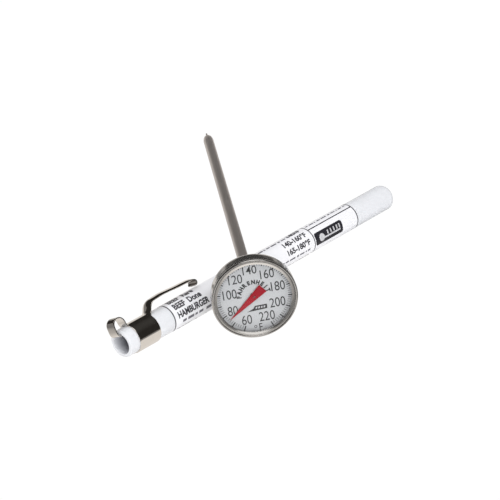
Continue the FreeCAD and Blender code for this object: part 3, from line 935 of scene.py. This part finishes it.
def spline(path, count):
    """Centripetal Catmull-Rom through the path: evenly spaced points and their distances."""
    knots = [np.array(point, float) for point in path]
    knots = [2 * knots[0] - knots[1]] + knots + [2 * knots[-1] - knots[-2]]
    curve = []
    for i in range(1, len(knots) - 2):
        p0, p1, p2, p3 = knots[i - 1:i + 3]
        t0 = 0
        t1 = t0 + np.linalg.norm(p1 - p0) ** 0.5
        t2 = t1 + np.linalg.norm(p2 - p1) ** 0.5
        t3 = t2 + np.linalg.norm(p3 - p2) ** 0.5
        for t in np.linspace(t1, t2, 24, endpoint=False):
            a1 = (t1 - t) / (t1 - t0) * p0 + (t - t0) / (t1 - t0) * p1
            a2 = (t2 - t) / (t2 - t1) * p1 + (t - t1) / (t2 - t1) * p2
            a3 = (t3 - t) / (t3 - t2) * p2 + (t - t2) / (t3 - t2) * p3
            b1 = (t2 - t) / (t2 - t0) * a1 + (t - t0) / (t2 - t0) * a2
            b2 = (t3 - t) / (t3 - t1) * a2 + (t - t1) / (t3 - t1) * a3
            curve.append((t2 - t) / (t2 - t1) * b1 + (t - t1) / (t2 - t1) * b2)
    curve.append(knots[-2])
    curve = np.array(curve)
    run = np.r_[0, np.cumsum(np.linalg.norm(np.diff(curve, axis=0), axis=1))]
    distances = np.linspace(0, run[-1], count)
    even = np.stack([np.interp(distances, run, curve[:, axis]) for axis in (0, 1)], 1)
    return even, distances


def clip_mesh():
    """Open sheet: a split band round the sheath, the arm from one edge, a loop from the other."""
    widths = np.r_[np.linspace(-LOOP_HALF, LOOP_HALF, 9), -ROOT_HALF, -2.5, 2.5, ROOT_HALF]
    offsets = sorted({round(x, 5) for x in widths})
    arm_angles = [CLIP_ANGLE + offset / CLIP_R for offset in offsets]
    gap_end = math.radians(GAP_ANGLE + GAP_HALF) - 2 * math.pi
    gap_start = math.radians(GAP_ANGLE - GAP_HALF)
    angles = list(np.linspace(gap_end, arm_angles[0], COLUMNS_BEFORE + 1)[:-1])
    angles += arm_angles + list(np.linspace(arm_angles[-1], gap_start, 24)[1:])
    points, faces = [], []

    def add_row(row_points):
        points.extend(row_points)
        return list(range(len(points) - len(row_points), len(points)))

    def join(row, following):
        for k in range(len(row) - 1):
            faces.append([row[k], row[k + 1], following[k + 1], following[k]])

    band = [add_row([(CLIP_R * math.cos(a), CLIP_R * math.sin(a), z) for a in angles])
            for z in np.linspace(BAND_START, BAND_END, 9)]
    for row, following in zip(band, band[1:]):
        join(row, following)

    outward = np.array([math.cos(CLIP_ANGLE), math.sin(CLIP_ANGLE)])
    sideways = np.array([-math.sin(CLIP_ANGLE), math.cos(CLIP_ANGLE)])

    def grow(path, count, start_row, half, root_half, flare, end_round, unbend, crown):
        """Strip from the band along a path.

        flare: length over which the root narrows; end_round: corner radius of the free end;
        unbend: length over which the cross curve goes from the band's radius to crown.
        """
        used = [(COLUMNS_BEFORE + i, offset) for i, offset in enumerate(offsets)
                if abs(offset) <= root_half + 1e-4]
        previous = [start_row[column] for column, offset in used]
        stations, distances = spline(path, count)
        for (z, radius), distance in list(zip(stations, distances))[1:]:
            hug = max(0.0, 1 - distance / unbend)
            hug = hug * hug * (3 - 2 * hug)
            curve = CLIP_R * hug + crown * (1 - hug)
            left = distances[-1] - distance
            # the cross curve flattens out towards the free end
            curve /= min(1.0, 0.03 + max(0.0, left - 2.0) / 4.0)
            widening = (root_half - half) * max(0.0, 1 - distance / flare) ** 2
            width = (half + widening) / root_half
            if left < end_round:
                corner = math.sqrt(max(0.0, end_round ** 2 - (end_round - left) ** 2))
                width *= (half - end_round + corner) / half
            row_points = []
            for column, offset in used:
                bend = offset * width / curve
                drop = curve * (1 - math.cos(bend))
                x, y = outward * (radius - drop) + sideways * (curve * math.sin(bend))
                row_points.append((x, y, z))
            row = add_row(row_points)
            join(previous, row)
            previous = row

    grow(ARM, 120, band[-1], half=ARM_HALF, root_half=ROOT_HALF, flare=1.9, end_round=0.9,
         unbend=1.8, crown=4.0)
    grow(LOOP, 60, band[0], half=LOOP_HALF, root_half=LOOP_HALF, flare=1.0, end_round=0.35,
         unbend=1.4, crown=300.0)
    return points, faces


def build_clip():
    clip = add_piece("clip", "sheath", clip_mesh(), CLIP_NICKEL, "pocket_clip",
                     sharp=180)
    # the signed volume means little on an open sheet, so the normals are worked out again
    bm = bmesh.new()
    bm.from_mesh(clip.data)
    bmesh.ops.recalc_face_normals(bm, faces=bm.faces)
    bm.to_mesh(clip.data)
    bm.free()
    thick = clip.modifiers.new("thick", "SOLIDIFY")
    thick.thickness = CLIP_T * 0.001
    thick.offset = 0.0
    thick.use_even_offset = True
    edge = clip.modifiers.new("edge", "BEVEL")
    edge.width = 0.00009
    edge.segments = 2
    edge.limit_method = "ANGLE"
    edge.angle_limit = math.radians(50)
    smooth = clip.modifiers.new("smooth", "SUBSURF")
    smooth.levels = 1
    smooth.render_levels = 1


build_clip()

# ------------------------------------------------------------------ camera
# the camera is set for a stem heading along +y, then turned about z to the stem's heading
HEADING = Matrix.Rotation(math.atan2(stem_dir.y, stem_dir.x) - math.pi / 2, 3, "Z")
CAMERA_MM = Vector((-85.468, -547.125, 363.096))    # x and y from the rim, z from the ground
cam_forward = HEADING @ Vector((0.129056, 0.848525, -0.513177))
cam_right = HEADING @ Vector((0.990990, -0.129055, 0.035829))
cam_up = HEADING @ Vector((0.035826, 0.513177, 0.857535))


def add_camera():
    data = bpy.data.cameras.new("cam")
    data.sensor_width = 36.0
    data.lens = 149.5368
    data.clip_start, data.clip_end = 0.01, 50
    camera = bpy.data.objects.new("cam", data)
    bpy.context.scene.collection.objects.link(camera)
    position = HEADING @ (CAMERA_MM * 0.001) + Vector((rim.x, rim.y, 0))
    turn = Matrix((cam_right, cam_up, -cam_forward)).transposed().to_4x4()
    camera.matrix_world = Matrix.Translation(position) @ turn
    bpy.context.scene.camera = camera


add_camera()

# ------------------------------------------------------------------ floor, in metres
SWEEP_DIR = (-0.74, 0.67, 0.0)      # the side on which floor and world look pale to metal
FLOOR_HALF, FLOOR_Z = 3, -0.0002


def floor_material():
    """White to the camera, pale diffuse to light, and a painted table to polished metal."""
    material, tree = new_material("floor_pale")
    place = add_node(tree, "TexCoord").outputs["Object"]
    grain = noise(tree, place, scale=40.0, detail=2.0)
    diffuse = add_node(tree, "BsdfDiffuse", {
        "Color": ramp(tree, grain, [(0.0, grey(0.93)), (1.0, grey(0.95))])})
    # as metal sees it: pale round the object and towards the sweep, grey further out
    offset = vector_math(tree, "SUBTRACT", place, (0.020, -0.020, 0.0))
    near = smooth_step(tree, vector_math(tree, "LENGTH", offset), (0.068, 0.046))
    heading = vector_math(tree, "NORMALIZE", offset)
    toward = smooth_step(tree, vector_math(tree, "DOT_PRODUCT", heading, SWEEP_DIR),
                         (0.86, 0.95))
    pale = do_math(tree, "MAXIMUM", near, toward)
    mirrored = add_node(tree, "Emission", {
        "Color": ramp(tree, pale, [(0.0, (0.20, 0.195, 0.19)), (1.0, (0.79, 0.755, 0.715))]),
        "Strength": 1.0})
    rays = add_node(tree, "LightPath").outputs
    lit = mix_shader(tree, rays["Is Glossy Ray"], diffuse.outputs[0], mirrored.outputs[0])
    white = add_node(tree, "Emission", {"Strength": 1.02})
    shader = mix_shader(tree, rays["Is Camera Ray"], lit, white.outputs[0])
    add_node(tree, "OutputMaterial", {"Surface": shader})
    return material


def add_floor():
    data = bpy.data.meshes.new("floor")
    corners = [(x * FLOOR_HALF, y * FLOOR_HALF, FLOOR_Z)
               for x, y in ((-1, -1), (1, -1), (1, 1), (-1, 1))]
    data.from_pydata(corners, [], [(0, 1, 2, 3)])
    floor = bpy.data.objects.new("floor", data)
    bpy.context.scene.collection.objects.link(floor)
    data.materials.append(floor_material())


add_floor()

# ------------------------------------------------------------------ world
# what polished metal sees, from straight down (0) to straight up (1)
ROOM = [(0.0, (0.80, 0.75, 0.70)), (0.490, (0.80, 0.75, 0.70)), (0.510, (0.03, 0.027, 0.024)),
        (0.62, (0.022, 0.02, 0.018)), (0.80, (0.022, 0.02, 0.018)),
        (0.935, (0.05, 0.048, 0.045)), (0.965, (1.7, 1.66, 1.6)), (1.0, (1.7, 1.66, 1.6))]
SWEEP_COLOUR = (0.80, 0.765, 0.725, 1)
CARD_DIR = (0.82, -0.55, 0.16)
CARD_INNER, CARD_OUTER = 8, 17      # degrees, half angles of the soft round card
CARD_COLOUR = (1.0, 0.98, 0.95, 1)


def build_world():
    """Even white light, but a dark room with a pale sweep and a card in reflections."""
    world = bpy.data.worlds.new("world")
    bpy.context.scene.world = world
    world.use_nodes = True
    tree = world.node_tree
    tree.nodes.clear()
    direction = add_node(tree, "TexCoord").outputs["Generated"]
    height = separate(tree, direction)["Z"]
    colour = ramp(tree, map_range(tree, height, source=(-1.0, 1.0)), ROOM)
    # the sweep rises a little above the horizon
    sideways = vector_math(tree, "DOT_PRODUCT", direction, SWEEP_DIR)
    within = smooth_step(tree, sideways, (0.93, 0.975))
    low = smooth_step(tree, height, (0.15, 0.09))
    sweep = do_math(tree, "MULTIPLY", within, low)
    colour = mix(tree, "RGBA", sweep, colour, SWEEP_COLOUR)
    toward_card = vector_math(tree, "DOT_PRODUCT", direction,
                              tuple(Vector(CARD_DIR).normalized()))
    card = smooth_step(tree, toward_card, (math.cos(math.radians(CARD_OUTER)),
                                           math.cos(math.radians(CARD_INNER))))
    colour = mix(tree, "RGBA", card, colour, CARD_COLOUR)
    mirrored = add_node(tree, "Background", {"Color": colour, "Strength": 1.0})
    white = add_node(tree, "Background", {"Color": (1, 1, 1, 1), "Strength": 0.80})
    glossy = add_node(tree, "LightPath").outputs["Is Glossy Ray"]
    shader = mix_shader(tree, glossy, white.outputs[0], mirrored.outputs[0])
    add_node(tree, "OutputWorld", {"Surface": shader})


build_world()


# ------------------------------------------------------------------ lights, in metres
def add_soft_box(name, right, height, toward_camera, size, power):
    """Area light offset from the middle of the object and facing it, unseen in reflections."""
    light = bpy.data.lights.new(name, "AREA")
    light.shape = "RECTANGLE"
    light.size, light.size_y = size
    light.energy = power
    box_light = bpy.data.objects.new(name, light)
    bpy.context.scene.collection.objects.link(box_light)
    middle = Vector((0, 0, 0.01))
    level_right = Vector((cam_right.x, cam_right.y, 0)).normalized()
    level_forward = Vector((cam_forward.x, cam_forward.y, 0)).normalized()
    position = middle + level_right * right + UP * height - level_forward * toward_camera
    box_light.location = position
    aim = (middle - position).normalized()
    box_light.rotation_euler = aim.to_track_quat("-Z", "Y").to_euler()
    box_light.visible_glossy = False


add_soft_box("key", right=-0.55, height=0.75, toward_camera=-0.25, size=(0.5, 0.35), power=1.2)
add_soft_box("fill", right=0.8, height=0.6, toward_camera=0.35, size=(0.5, 0.5), power=0.8)
add_soft_box("top", right=0.0, height=0.85, toward_camera=0.42, size=(0.5, 0.35), power=1.6)
add_soft_box("front", right=0.25, height=0.35, toward_camera=0.95, size=(0.5, 0.35), power=2.6)

view = bpy.context.scene.view_settings
view.view_transform = "Standard"
view.look = "None"
view.exposure = 0.0
view.gamma = 1.0
